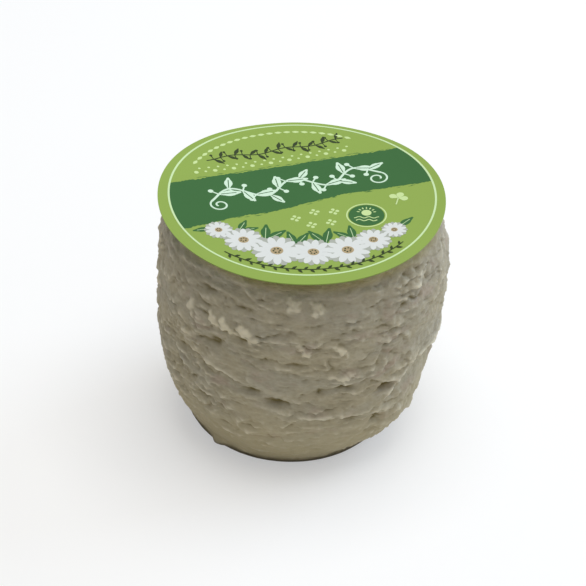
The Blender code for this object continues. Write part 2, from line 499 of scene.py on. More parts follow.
@dataclass(frozen=True)
class PaperSurface:
    """The label's face, a little uneven and curled up at both sides.

    The sheet, the inks and the top of the cheese follow it.
    """

    centre: Vector
    top: float
    radius: float = 30.25 * MM
    thickness: float = 0.20 * MM
    wave: float = 0.13 * MM
    wave_size: float = 24.0 * MM
    flat_half: float = 6.0 * MM
    side_lift: float = 1.40 * MM
    back_gain: float = 0.45
    tip: float = 0.30 * MM

    def height(self, x: float, y: float) -> float:
        """The height of the paper's upper face.

        Args:
            x: the place from the label's middle, to the right.
            y: the place from the label's middle, to the back.

        Returns:
            The height in the frame.
        """
        waved = self.wave * noise.noise(Vector((x / self.wave_size, y / self.wave_size, 0.37)))
        side = max(abs(x) - self.flat_half, 0.0) / (self.radius - self.flat_half)
        curled = self.side_lift * side**2 * (1.0 + self.back_gain * y / self.radius)
        tipped = self.tip * (y / self.radius) * (1.0 - (x / self.radius) ** 2)
        return self.top - self.wave + waved + curled - tipped

    def settle(self, piece: bpy.types.Object, lift: float) -> None:
        """Moves a flat piece, made round the origin, onto the paper.

        Args:
            piece: a mesh object whose upper faces lie about at height 0.
            lift: how far that height comes above the paper.
        """
        for vertex in piece.data.vertices:
            flat = vertex.co.copy()
            vertex.co.x = flat.x + self.centre.x
            vertex.co.y = flat.y + self.centre.y
            vertex.co.z = flat.z + self.height(flat.x, flat.y) + lift
        piece.data.update()


@dataclass(frozen=True)
class CurdLayers:
    """Broken layers, each proud at its lower edge, where it hangs over the one below."""

    pitch: float
    length: float
    depth: float
    lip: float
    overhang: float
    wander: float
    ripple: float
    ripple_rate: float
    patches: Span
    shift: Vector
    mean: float = 0.4

    def at(self, point: Vector) -> tuple[float, float]:
        """The layers at a point of the side.

        Args:
            point: the point of the turned side.

        Returns:
            How far the rind stands out there, and how far it hangs down.
        """
        place = Vector((point.x / self.length, point.y / self.length, point.z / self.pitch))
        ripple = self.ripple * noise.noise(place * self.ripple_rate)
        phase = place.z + self.wander * noise.noise(place) + ripple
        rise = phase - math.floor(phase)
        edge = smoothstep(0.0, self.lip, rise) * (1.0 - rise)
        strength = smoothstep(*self.patches, noise.noise(place + self.shift))
        return self.depth * strength * (edge - self.mean), self.overhang * strength * edge * edge


@dataclass(frozen=True)
class CurdGrains:
    """Low domes of single curds, warped out of an even grid, with a share of the side left bare."""

    length: float
    height: float
    depth: float
    patches: Span
    patch_size: float
    warp: float = 0.35
    warp_rate: float = 0.8
    mean: float = 0.45

    def at(self, point: Vector) -> float:
        """How far the domes raise a point of the side."""
        place = Vector((point.x / self.length, point.y / self.length, point.z / self.height))
        place += self.warp * noise.noise_vector(place * self.warp_rate)
        strength = smoothstep(*self.patches, noise.noise(point / self.patch_size))
        return self.depth * strength * (self.mean - noise.voronoi(place)[0][0])


@dataclass
class CheeseBody:
    """The cheese: a turned barrel that leans a little, with its torn and layered rind."""

    RELIEF_ATTRIBUTE = "rind_relief"
    CURD_ATTRIBUTE = "rind_curds"

    paper: PaperSurface
    height: float = 54.4 * MM
    belly_radius: float = 31.2 * MM
    lean: float = 0.0312
    foot_shift: float = -0.8 * MM
    foot_shift_height: float = 6.0 * MM
    ring_step: float = 0.405 * MM
    turn_steps: int = 560
    cap_rings: int = 5
    merge: float = 0.01 * MM
    relief_inset: float = 0.4 * MM
    base_fade: float = 3.5 * MM
    top_fade: float = 4.5 * MM
    swell_size: float = 17.0 * MM
    swell_depth: float = 0.7 * MM
    swell_shift: Vector = field(default_factory=lambda: Vector((2.7, 0.4, 1.9)))
    top_hollow: Span = (23.0 * MM, 25.2 * MM)
    top_touch: Span = (0.75, 0.35)
    top_touch_size: float = 5.0 * MM
    grit_size: float = 0.9 * MM
    grit_depth: float = 0.10 * MM
    fold_above: float = 2.6 * MM
    fold_below: float = 3.4 * MM
    fold_lip: float = 0.9 * MM
    fold_crest: float = 0.45
    fold_runout: float = 0.30
    fold_waver: float = 0.5 * MM
    fold_wave: float = 4.5 * MM
    liveliness_size: float = 14.0 * MM
    liveliness_drift: float = 0.30
    foot_calm: float = 0.42
    foot_calm_heights: Span = (3.0, 12.0)
    curd_seed: int = 23
    curd_clusters: int = 15
    pale_size: float = 0.7
    curd_roundness: float = 0.70
    curd_warp: float = 0.55
    curd_warp_size: float = 1.2 * MM
    warp_seed: int = 7
    scatter_seed: int = 11
    scatter_arc: Span = (-8.0, 196.0)
    scatter_heights: Span = (9.0, 49.0)
    scatter_pits: int = 22
    scatter_lumps: int = 16
    scatter_folds: int = 11
    relief_depths: dict[int, float] = field(default_factory=lambda: {14: 1.15 * MM, 70: 1.5 * MM})

    def outline(self) -> list[Vector]:
        """The turned outline, from the middle of the top, down the side, to the middle of the base.

        Returns:
            The outline's points, even along the side and wide apart on the flat faces.
        """
        knots_mm = (
            (24.8, 54.4), (26.2, 54.1), (28.0, 52.6), (29.7, 49.2), (31.1, 42.8), (31.3, 36.6), (31.2, 30.0),
            (30.9, 23.8), (30.1, 17.6), (28.4, 11.4), (25.4, 5.2), (22.2, 0.8), (20.0, 0.0),
        )
        curve = catmull_rom([Vector((r * MM, 0.0, z * MM)) for r, z in knots_mm], samples=40)
        side = evenly(curve, self.ring_step)
        rings = range(self.cap_rings)
        top = [Vector((side[0].x * i / self.cap_rings, 0.0, self.height)) for i in rings]
        base = [Vector((side[-1].x * i / self.cap_rings, 0.0, 0.0)) for i in reversed(rings)]
        return [*top, *side, *base]

    def features(self) -> tuple[list[Feature], list[Feature], list[Feature]]:
        """The pits, lumps and folds: those of the front, and more drawn for the back.

        Returns:
            Pits and lumps as (angle, height, half length, half height, size), and folds as
            (first angle, height, last angle, height, drop), in degrees and millimetres.
        """
        pits = [
            (-125.0, 35.9, 2.6, 1.5, 1.3), (-107.5, 26.1, 2.3, 1.0, 1.3), (-97.4, 23.6, 3.0, 1.2, 1.6),
            (-112.0, 39.0, 1.4, 0.8, 0.8), (-89.5, 34.4, 2.7, 0.7, 0.8), (-130.0, 18.6, 2.2, 0.9, 0.9),
            (-131.0, 47.5, 2.2, 0.7, 0.8), (-114.0, 46.5, 2.2, 0.7, 0.7), (-80.5, 27.0, 1.5, 0.9, 0.8),
            (-51.0, 24.2, 2.5, 1.0, 1.2), (-53.5, 15.4, 1.9, 1.3, 1.2), (-145.0, 23.8, 3.0, 1.0, 1.0),
            (-101.5, 35.0, 1.8, 0.8, 0.6), (-66.0, 18.0, 3.0, 0.7, 0.7), (-52.0, 34.0, 2.4, 0.8, 0.6),
            (-31.0, 22.5, 6.5, 3.4, 1.2), (-120.5, 13.0, 2.4, 0.8, 0.8), (-168.0, 45.5, 3.0, 2.6, 0.8),
            (-50.0, 2.8, 8.0, 2.5, 1.4), (179.0, 37.2, 3.2, 2.4, 0.8),
        ]
        lumps = [
            (-94.0, 48.5, 2.5, 1.4, 0.7), (-84.0, 47.5, 2.0, 1.2, 0.7), (-70.0, 30.5, 2.4, 0.9, 0.9),
            (-38.0, 48.5, 2.8, 1.3, 0.7), (-38.0, 12.0, 10.0, 7.0, 1.1), (-117.0, 42.5, 7.5, 3.0, 0.6),
            (-29.5, 11.6, 1.7, 1.0, 0.6), (-156.0, 20.5, 1.5, 1.2, 0.9), (-131.0, 2.0, 2.4, 1.1, 1.6),
            (169.0, 44.0, 4.0, 3.0, 0.7),
        ]
        folds = [
            (-138.0, 31.6, -113.0, 28.2, 1.3), (-51.0, 21.0, -37.5, 28.2, 1.6),
            (-42.0, 28.2, 2.0, 25.6, 2.0), (-60.0, 29.0, -47.0, 24.8, 1.1),
            (-76.0, 28.4, -60.0, 29.8, 0.9), (-97.0, 33.0, -80.0, 31.8, 0.7),
            (-88.0, 20.8, -62.0, 19.0, 0.8), (-136.0, 21.2, -124.0, 20.8, 0.9),
            (-160.0, 30.0, -142.0, 27.6, 0.9), (-87.0, 17.4, -77.0, 17.0, 0.6),
            (-112.0, 12.6, -100.0, 13.0, 0.5), (-53.0, 43.6, -41.0, 46.6, 0.6),
        ]
        draw = random.Random(self.scatter_seed)

        def ovals(count: int, sizes: Sequence[Span]) -> list[Feature]:
            """Drawn pits or lumps."""
            spans = (self.scatter_arc, self.scatter_heights, *sizes)
            return [tuple(draw.uniform(*span) for span in spans) for _ in range(count)]

        pits += ovals(self.scatter_pits, ((1.4, 2.8), (1.0, 1.4), (0.7, 1.3)))
        lumps += ovals(self.scatter_lumps, ((1.6, 2.6), (1.2, 1.7), (0.6, 1.0)))
        for _ in range(self.scatter_folds):
            angle, low = draw.uniform(*self.scatter_arc), draw.uniform(*self.scatter_heights)
            last = angle + draw.uniform(14.0, 27.0)
            folds.append((angle, low, last, low + draw.uniform(-4.0, 3.0), draw.uniform(0.7, 1.2)))
        return pits, lumps, folds

    def liveliness(self, point: Vector, turn: float, height: float) -> float:
        """How strongly the layers and grains show at a place.

        Args:
            point: the point of the turned side.
            turn: its angle round the cheese, in degrees.
            height: its height, in millimetres.

        Returns:
            1 as usual, less where the rind is calm, as it is low on the belly, more where it is busy.
        """
        areas = (
            (-117.0, 31.0, 5.5, 4.0, -0.60), (-103.0, 21.0, 6.5, 3.5, -0.50), (-95.0, 38.5, 4.0, 3.0, -0.50),
            (-70.0, 48.0, 5.0, 3.0, -0.50), (-136.0, 35.0, 9.0, 10.0, 0.35), (-68.0, 28.5, 12.0, 6.5, 0.12),
            (-41.0, 45.0, 6.5, 6.0, 0.60), (-35.0, 22.5, 8.0, 4.5, -0.60), (-40.0, 34.0, 7.0, 5.0, -0.45),
            (-124.0, 17.0, 12.0, 5.0, 0.70),
        )
        belly = self.foot_calm + (1.0 - self.foot_calm) * smoothstep(*self.foot_calm_heights, height)
        drift = self.liveliness_drift * noise.noise(point / self.liveliness_size)
        return belly * (1.0 + drift + sum(area[-1] * self.mound(turn, height, area) for area in areas))

    def curds(self) -> list[Feature]:
        """The single pale curds that stand out: those of the front, and more drawn all round.

        Returns:
            Each as (angle, height, half length, half height, size), in degrees and millimetres.
        """
        front = [
            (-127.2, 43.0, 1.0, 1.0, 0.60), (-125.6, 41.8, 1.4, 1.2, 0.80), (-123.8, 40.9, 1.0, 0.9, 0.60),
            (-120.8, 42.5, 1.0, 1.1, 0.70), (-119.6, 41.4, 1.4, 1.2, 0.90), (-121.4, 40.5, 0.9, 0.8, 0.55),
            (-117.4, 40.6, 1.2, 1.0, 0.75), (-115.6, 40.2, 0.8, 0.7, 0.50), (-113.3, 42.1, 1.1, 1.0, 0.75),
            (-111.2, 41.5, 1.5, 1.2, 0.95), (-109.1, 41.0, 1.0, 0.9, 0.65), (-105.4, 38.8, 0.9, 0.7, 0.35),
            (-112.0, 39.4, 0.9, 0.7, 0.45), (-109.6, 39.3, 1.1, 0.8, 0.55), (-107.2, 39.9, 1.0, 0.8, 0.50),
            (-137.2, 42.3, 1.3, 1.7, 0.50), (-35.0, 48.9, 1.2, 0.9, 0.42), (-32.8, 48.2, 0.9, 0.9, 0.38),
            (-47.4, 45.9, 1.3, 0.5, 0.36), (-44.6, 45.4, 1.2, 0.5, 0.36), (-45.0, 42.6, 1.3, 0.6, 0.32),
            (-135.8, 40.2, 1.0, 1.1, 0.40), (-138.4, 34.6, 1.8, 0.9, 0.45), (-134.8, 35.2, 1.3, 0.7, 0.40),
            (-90.5, 40.0, 0.8, 0.8, 0.45), (-89.2, 38.8, 1.0, 0.9, 0.55), (-87.3, 37.7, 1.1, 0.9, 0.65),
            (-85.9, 38.4, 0.7, 0.6, 0.40), (-76.5, 39.4, 0.8, 0.7, 0.45), (-75.0, 38.6, 1.1, 0.9, 0.60),
            (-73.3, 37.8, 1.2, 0.9, 0.60), (-71.7, 37.0, 0.8, 0.6, 0.40), (-95.0, 50.0, 1.0, 0.8, 0.36),
            (-93.2, 49.5, 1.4, 0.9, 0.42), (-91.6, 50.0, 0.9, 0.7, 0.32), (-94.2, 48.4, 1.1, 0.7, 0.38),
            (-92.0, 48.4, 1.2, 0.8, 0.42), (-86.0, 49.6, 0.9, 0.7, 0.32), (-84.2, 48.9, 1.3, 0.9, 0.42),
            (-82.4, 48.2, 1.1, 0.8, 0.38), (-85.2, 47.6, 0.9, 0.6, 0.32),
            (-76.2, 31.3, 1.6, 0.6, 0.40), (-72.6, 30.9, 1.8, 0.7, 0.50), (-69.4, 31.7, 1.2, 0.6, 0.40),
        ]
        draw = random.Random(self.curd_seed)
        spans = (self.scatter_arc, self.scatter_heights, (0.7, 1.3), (0.6, 1.0), (0.30, 0.65))
        drawn = []
        for _ in range(self.curd_clusters):
            turn, height, *_ = cluster = [draw.uniform(*span) for span in spans]
            for _ in range(draw.randint(2, 7)):
                drawn.append((turn, height, *cluster[2:]))
                turn += draw.uniform(1.6, 2.8)
                height += draw.uniform(-1.1, 0.7)
        return front + drawn

    def along(self, turn: float, feature: Feature) -> float:
        """How far a turn lies from a feature's middle, in half lengths of the feature."""
        return math.radians(turn_past(feature[0], turn)) * self.belly_radius / MM / feature[2]

    def dome(self, turn: float, height: float, feature: Feature) -> float:
        """How high a point lies on a curd's round dome.

        Args:
            turn: the point's angle round the cheese, in degrees.
            height: the point's height, in millimetres.
            feature: the curd.

        Returns:
            1 at its top, 0 at its foot and outside.
        """
        up = (height - feature[1]) / feature[3]
        if abs(up) >= 1.0:
            return 0.0
        along = self.along(turn, feature)
        return max(1.0 - along * along - up * up, 0.0) ** self.curd_roundness

    def mound(self, turn: float, height: float, feature: Feature) -> float:
        """How far inside an oval feature a point lies.

        Args:
            turn: the point's angle round the cheese, in degrees.
            height: the point's height, in millimetres.
            feature: the oval.

        Returns:
            1 at its middle, falling to 0 outside.
        """
        along, up = self.along(turn, feature), (height - feature[1]) / feature[3]
        return math.exp(-(along * along + up * up))

    def fold(self, point: Vector, turn: float, feature: Feature) -> float:
        """The swell above a fold's line and the hollow below it, in metres.

        Args:
            point: the point of the turned side.
            turn: its angle round the cheese, in degrees.
            feature: the fold.

        Returns:
            How far the rind stands out.
        """
        first, low, last, high, drop = feature
        share = turn_past(first, turn) / (last - first)
        if not -self.fold_runout < share < 1.0 + self.fold_runout:
            return 0.0
        ends = smoothstep(-self.fold_runout, self.fold_runout, share)
        ends *= smoothstep(-self.fold_runout, self.fold_runout, 1.0 - share)
        line = (low + (high - low) * share) * MM + self.fold_waver * noise.noise(point / self.fold_wave)
        above = point.z - line
        if above > 0.0:
            return drop * MM * ends * self.fold_crest * math.exp(-above / self.fold_above)
        step = self.fold_crest - smoothstep(0.0, self.fold_lip, -above)
        return drop * MM * ends * step * math.exp(above / self.fold_below)

    def offset_maker(self) -> Callable[[Vector], tuple[float, float, float]]:
        """Everything that shapes the rind, put together.

        Returns:
            A function from a point of the turned side to how far it moves out and down, and to
            the share of pale curd in it.
        """
        layers = (
            CurdLayers(
                pitch=5.6 * MM, length=8.0 * MM, depth=0.80 * MM, lip=0.22, overhang=0.25 * MM, wander=1.2,
                ripple=0.40, ripple_rate=2.6, patches=(-0.05, 0.50), shift=Vector((7.1, 3.3, 5.7)),
            ),
            CurdLayers(
                pitch=2.35 * MM, length=4.4 * MM, depth=0.72 * MM, lip=0.30, overhang=0.22 * MM, wander=0.85,
                ripple=0.36, ripple_rate=2.6, patches=(-0.35, 0.25), shift=Vector((1.3, 8.2, 4.4)),
            ),
            CurdLayers(
                pitch=1.35 * MM, length=2.2 * MM, depth=0.32 * MM, lip=0.35, overhang=0.12 * MM, wander=1.1,
                ripple=0.2, ripple_rate=2.3, patches=(-0.25, 0.35), shift=Vector((5.9, 2.2, 9.1)),
            ),
        )
        grains = (
            CurdGrains(
                length=5.6 * MM, height=3.8 * MM, depth=0.70 * MM, patches=(-2.0, -1.0), patch_size=10.0 * MM
            ),
            CurdGrains(
                length=2.6 * MM, height=1.9 * MM, depth=0.50 * MM, patches=(-0.40, 0.20), patch_size=9.0 * MM
            ),
            CurdGrains(
                length=1.4 * MM, height=1.1 * MM, depth=0.24 * MM, patches=(-0.35, 0.25), patch_size=6.0 * MM
            ),
        )
        noise.seed_set(self.warp_seed)
        pits, lumps, folds = self.features()
        curds = self.curds()

        def offset(point: Vector) -> tuple[float, float, float]:
            """How far a point of the turned side moves out and down, and how much pale curd it is."""
            turn, height = math.degrees(math.atan2(point.y, point.x)), point.z / MM
            out = self.swell_depth * noise.noise(point / self.swell_size + self.swell_shift)
            out, down = out - self.relief_inset, 0.0
            lively = self.liveliness(point, turn, height)
            for layer in layers:
                proud, hang = layer.at(point)
                out += lively * proud
                down += lively * hang
            out += lively * sum(grain.at(point) for grain in grains)
            out += self.grit_depth * noise.fractal(point / self.grit_size, 0.8, 2.1, 3)
            out -= MM * sum(pit[-1] * self.mound(turn, height, pit) for pit in pits)
            out += MM * sum(lump[-1] * self.mound(turn, height, lump) for lump in lumps)
            out += sum(self.fold(point, turn, fold) for fold in folds)
            warp = self.curd_warp * noise.noise_vector(point / self.curd_warp_size)
            curd_turn = turn + math.degrees(warp.x * MM / self.belly_radius)
            domes = [(self.dome(curd_turn, height + warp.z, curd), curd[-1]) for curd in curds]
            out += MM * max(dome * size for dome, size in domes)
            pale = max(dome * min(size / self.pale_size, 1.0) for dome, size in domes)
            fade = smoothstep(0.0, self.base_fade, point.z)
            fade *= smoothstep(0.0, self.top_fade, self.height - point.z)
            return out * fade, down * fade, pale

        return offset

    def top_reach(self, point: Vector) -> float:
        """How far a point of the flat top rises to meet the paper.

        Args:
            point: the point of the flat top.

        Returns:
            The rise, which leaves low spots between the places that touch.
        """
        rim = 1.0 - smoothstep(*self.top_hollow, point.xy.length)
        x, y = point.x + self.lean * point.z - self.paper.centre.x, point.y - self.paper.centre.y
        underside = self.paper.height(x, y) - self.paper.thickness
        touch = self.top_touch[0] + self.top_touch[1] * noise.noise(point / self.top_touch_size)
        return rim * min(touch, 1.0) * (underside - point.z)

    def shape(self, piece: bpy.types.Object) -> None:
        """Moves the turned mesh's points to the cheese's real surface and keeps the share of pale curd at
        each point as an attribute.

        Args:
            piece: the turned mesh object.
        """
        offset = self.offset_maker()
        mesh = piece.data
        normals = [vertex.normal.copy() for vertex in mesh.vertices]
        places = [vertex.co.copy() for vertex in mesh.vertices]
        curds = np.zeros(len(places))
        for i, (point, normal) in enumerate(zip(places, normals)):
            if 0.0 < point.z < self.height:
                out, down, curds[i] = offset(point)
                point += normal * out
                point.z -= down
            elif point.z >= self.height:
                point.z += self.top_reach(point)
            low = 1.0 - smoothstep(0.0, self.foot_shift_height, point.z)
            point.x += self.lean * point.z + self.foot_shift * low
        mesh.vertices.foreach_set("co", np.array(places).ravel())
        mesh.attributes.new(self.CURD_ATTRIBUTE, "FLOAT", "POINT").data.foreach_set("value", curds)
        mesh.update()

    def mark_relief(self, piece: bpy.types.Object) -> None:
        """Writes how far each point stands above its smoothed surroundings: 0.5 where it is level.

        Args:
            piece: the shaped mesh object.
        """
        mesh = piece.data
        places, normals = vertex_rows(mesh, "co"), vertex_rows(mesh, "normal")
        ends = np.empty(len(mesh.edges) * 2, dtype=np.int64)
        mesh.edges.foreach_get("vertices", ends)
        first, last = ends[0::2], ends[1::2]
        count = np.bincount(ends, minlength=len(places))[:, None]
        relief = np.full(len(places), 0.5)
        smooth = places
        for i in range(1, max(self.relief_depths) + 1):
            total = [
                np.bincount(first, column[last], len(places)) + np.bincount(last, column[first], len(places))
                for column in smooth.T
            ]
            smooth = 0.5 * smooth + 0.5 * np.stack(total, axis=1) / count
            if i in self.relief_depths:
                relief += 0.5 * ((places - smooth) * normals).sum(axis=1) / self.relief_depths[i]
        mesh.attributes.new(self.RELIEF_ATTRIBUTE, "FLOAT", "POINT").data.foreach_set("value", relief)

    def build(self, finish: RindFinish) -> bpy.types.Object:
        """Models and dresses the cheese.

        Args:
            finish: the rind's finish.

        Returns:
            The finished piece.
        """
        piece = line_piece("goat_cheese", [self.outline()])
        apply_modifier(
            piece, "SCREW", angle=2.0 * math.pi, steps=self.turn_steps, render_steps=self.turn_steps,
            use_merge_vertices=True, merge_threshold=self.merge,
        )
        with editing(piece):
            bpy.ops.mesh.remove_doubles(threshold=self.merge)
            bpy.ops.mesh.normals_make_consistent(inside=False)
        self.shape(piece)
        self.mark_relief(piece)
        bpy.ops.object.shade_smooth()
        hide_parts("cheese")
        hand_over(piece, finish.material())
        return piece


def active_piece(name: str) -> bpy.types.Object:
    """The object that the last operator made, named."""
    piece = bpy.context.view_layer.objects.active
    piece.name = piece.data.name = name
    return piece


def face_up(piece: bpy.types.Object) -> None:
    """Turns a flat piece's faces to look up."""
    if sum(polygon.normal.z for polygon in piece.data.polygons) < 0.0:
        piece.data.flip_normals()


def move_vertices(piece: bpy.types.Object, inside: Callable[[Vector], bool], shift: Vector) -> None:
    """Moves some vertices of a piece in edit mode.

    Args:
        piece: the mesh object.
        inside: tells from a vertex's place whether it moves.
        shift: how far it moves.
    """
    with editing(piece):
        bpy.ops.mesh.select_mode(type="VERT")
        bpy.ops.mesh.select_all(action="DESELECT")
    for vertex in piece.data.vertices:
        vertex.select = inside(vertex.co)
    bpy.ops.object.mode_set(mode="EDIT")
    bpy.ops.transform.translate(value=shift)
    bpy.ops.object.mode_set(mode="OBJECT")


def flat_disc(radius: float, sides: int = 24) -> bpy.types.Object:
    """A flat disc round the origin, with a middle point so that it can follow the paper."""
    select_none()
    bpy.ops.mesh.primitive_circle_add(vertices=sides, radius=radius, fill_type="TRIFAN")
    piece = active_piece("disc")
    face_up(piece)
    return piece


def flat_ring(radius: float, width: float, sides: int) -> bpy.types.Object:
    """A flat ring line round the origin.

    Args:
        radius: the radius of the line's middle.
        width: the line's width.
        sides: how many straight pieces go round.

    Returns:
        The new object.
    """
    select_none()
    outer = radius + width / 2.0
    bpy.ops.mesh.primitive_circle_add(vertices=sides, radius=outer, fill_type="NOTHING")
    piece = active_piece("ring")
    inner = (radius - width / 2.0) / outer
    with editing(piece):
        bpy.ops.mesh.extrude_edges_move()
        bpy.ops.transform.resize(value=(inner, inner, 1.0))
    face_up(piece)
    return piece


def flat_oval(near: float, far: float, width: float, sides: int) -> bpy.types.Object:
    """An oval on the X axis.

    Args:
        near: where it begins.
        far: where it ends.
        width: its greatest width.
        sides: how many points its outline has.

    Returns:
        The new object.
    """
    select_none()
    bpy.ops.mesh.primitive_circle_add(vertices=sides, radius=0.5, fill_type="NGON")
    piece = active_piece("oval")
    with editing(piece):
        bpy.ops.transform.resize(value=(far - near, width, 1.0))
        bpy.ops.transform.translate(value=((far + near) / 2.0, 0.0, 0.0))
    face_up(piece)
    return piece


def flat_leaf(length: float, width: float, sides: int = 14) -> bpy.types.Object:
    """A pointed leaf that starts at the origin and points along +X.

    Args:
        length: from its stalk to its tip.
        width: across its middle.
        sides: how many points its outline has.

    Returns:
        The new object.
    """
    tip, close = 0.18 * length, 0.01 * length
    piece = flat_oval(tip, length - tip, width, sides)
    reach = [vertex.co.x for vertex in piece.data.vertices]
    far, near = max(reach), min(reach)
    move_vertices(piece, lambda place: place.x > far - close, Vector((tip, 0.0, 0.0)))
    move_vertices(piece, lambda place: place.x < near + close, Vector((-tip, 0.0, 0.0)))
    return piece


def flat_petal(length: float, width: float, start: float, sides: int = 14) -> bpy.types.Object:
    """A blunt petal along +X, narrower towards the flower's middle.

    Args:
        length: from the flower's middle to the petal's tip.
        width: its greatest width.
        start: how far from the flower's middle it begins.
        sides: how many points its outline has.

    Returns:
        The new object.
    """
    piece = flat_oval(start, length, width, sides)
    waist, full = 0.45, start + 0.62 * (length - start)
    for vertex in piece.data.vertices:
        vertex.co.y *= waist + (1.0 - waist) * smoothstep(start, full, vertex.co.x)
    return piece


def curl(
    start: Vector, way: Vector, radius: float, side: float, turns: float = 1.25, tightening: float = 0.72,
    points: int = 40,
) -> list[Vector]:
    """A tendril that goes on from a stem's end and winds inwards.

    Args:
        start: the stem's end.
        way: the stem's direction there, of length 1.
        radius: how far the tendril's middle lies from the start.
        side: 1 to wind to the left, -1 to the right.
        turns: how many turns it makes.
        tightening: the share of its radius that it loses.
        points: how many points it has.

    Returns:
        The tendril's points.
    """
    middle = start + side * radius * Vector((-way.y, way.x, 0.0))
    arm = start - middle
    line = []
    for i in range(points):
        share = i / (points - 1)
        turn = Matrix.Rotation(side * share * turns * 2.0 * math.pi, 3, "Z")
        line.append(middle + (1.0 - tightening * share) * (turn @ arm))
    return line


def spot(x: float, y: float, turn: float = 0.0, size: float = 1.0, lift: float = 0.0) -> Matrix:
    """Where a copy of a motif goes.

    Args:
        x: to the right, in metres.
        y: to the back, in metres.
        turn: anticlockwise, in radians.
        size: the copy's size against the motif's.
        lift: how far above its neighbours it lies.

    Returns:
        The copy's matrix.
    """
    grow = Matrix.Diagonal((size, size, 1.0, 1.0))
    return Matrix.Translation((x, y, lift)) @ Matrix.Rotation(turn, 4, "Z") @ grow


def joined(name: str, parts: Sequence[bpy.types.Object]) -> bpy.types.Object:
    """Several objects made one.

    Args:
        name: the name of the result.
        parts: the objects, which are used up.

    Returns:
        The joined object.
    """
    select_none()
    for part in parts:
        part.select_set(True)
    bpy.context.view_layer.objects.active = parts[0]
    bpy.ops.object.join()
    return active_piece(name)


def copied(name: str, motif: bpy.types.Object, places: Sequence[Matrix]) -> bpy.types.Object:
    """A motif copied to several places and joined.

    Args:
        name: the name of the result.
        motif: the motif round the origin, which is used up.
        places: a matrix for each copy.

    Returns:
        The joined object.
    """
    twins = []
    for place in places:
        twin = motif.copy()
        twin.data = motif.data.copy()
        twin.data.transform(place)
        bpy.context.scene.collection.objects.link(twin)
        twins.append(twin)
    bpy.data.objects.remove(motif)
    return joined(name, twins)


@dataclass(frozen=True)
class SprigShape:
    """The sizes of a stem with leaves on both sides and berries between them."""

    stroke: float
    leaf_length: float
    leaf_width: float
    spacing: float
    splay: float = math.radians(46.0)
    leaf_sizes: tuple[float, ...] = (1.0, 0.86, 0.94)
    berry_radius: float = 0.0
    berry_reach: float = 0.0
    stalk_share: float = 0.65

    def nodes(self, stem: Sequence[Vector]) -> list[tuple[Vector, float, float]]:
        """The stem's nodes: the place, the stem's direction there and the side that the leaf is on."""
        places = evenly(stem, self.spacing)
        nodes = []
        for i, (before, place) in enumerate(zip(places, places[1:-1])):
            run = place - before
            nodes.append((place, math.atan2(run.y, run.x), 1.0 if i % 2 else -1.0))
        return nodes

    def leaves(self, stem: Sequence[Vector]) -> list[Matrix]:
        """Where the leaves go: one at each node, in turn on both sides.

        Args:
            stem: the stem's points.

        Returns:
            A matrix for each leaf.
        """
        sizes = self.leaf_sizes
        return [
            spot(*place.xy, way + side * self.splay, sizes[i % len(sizes)])
            for i, (place, way, side) in enumerate(self.nodes(stem))
        ]

    def stalks(self, stem: Sequence[Vector]) -> list[list[Vector]]:
        """The berries' stalks, each on the side that its node's leaf leaves free.

        Args:
            stem: the stem's points.

        Returns:
            Each stalk's two ends.
        """
        stalks = []
        for place, way, side in self.nodes(stem):
            across = way - side * math.pi / 2.0
            reach = Vector((math.cos(across), math.sin(across), 0.0))
            stalks.append([place, place + self.berry_reach * reach])
        return stalks


@dataclass(frozen=True)
class DaisyShape:
    """The sizes of a flower one millimetre in radius: two rows of petals, the heart and its ring of seeds."""

    petals: int = 11
    front_share: float = 0.93
    front: tuple[float, float, float] = (1.0 * MM, 0.37 * MM, 0.12 * MM)
    back: tuple[float, float, float] = (1.0 * MM, 0.40 * MM, 0.16 * MM)
    heart: float = 0.25 * MM
    seeds: int = 6
    seed: float = 0.042 * MM
    seed_reach: float = 0.13 * MM


@dataclass(frozen=True)
class LabelInks:
    """The label's paper and the inks of its print."""

    paper: PrintFinish = PrintFinish("paper_light_green", (0.266, 0.384, 0.074))
    dark: PrintFinish = PrintFinish("ink_dark_green", (0.040, 0.140, 0.038), unevenness=0.35)
    line: PrintFinish = PrintFinish("ink_pale_green", (0.580, 0.750, 0.420))
    mint: PrintFinish = PrintFinish("ink_mint", (0.620, 0.800, 0.630))
    cream: PrintFinish = PrintFinish("ink_cream", (0.560, 0.710, 0.320))
    white: PrintFinish = PrintFinish("ink_white", (0.660, 0.680, 0.660), unevenness=0.12)
    shade: PrintFinish = PrintFinish("ink_grey_white", (0.400, 0.420, 0.370))
    heart: PrintFinish = PrintFinish("ink_straw", (0.430, 0.330, 0.190))
    black: PrintFinish = PrintFinish("ink_black_green", (0.030, 0.050, 0.014))


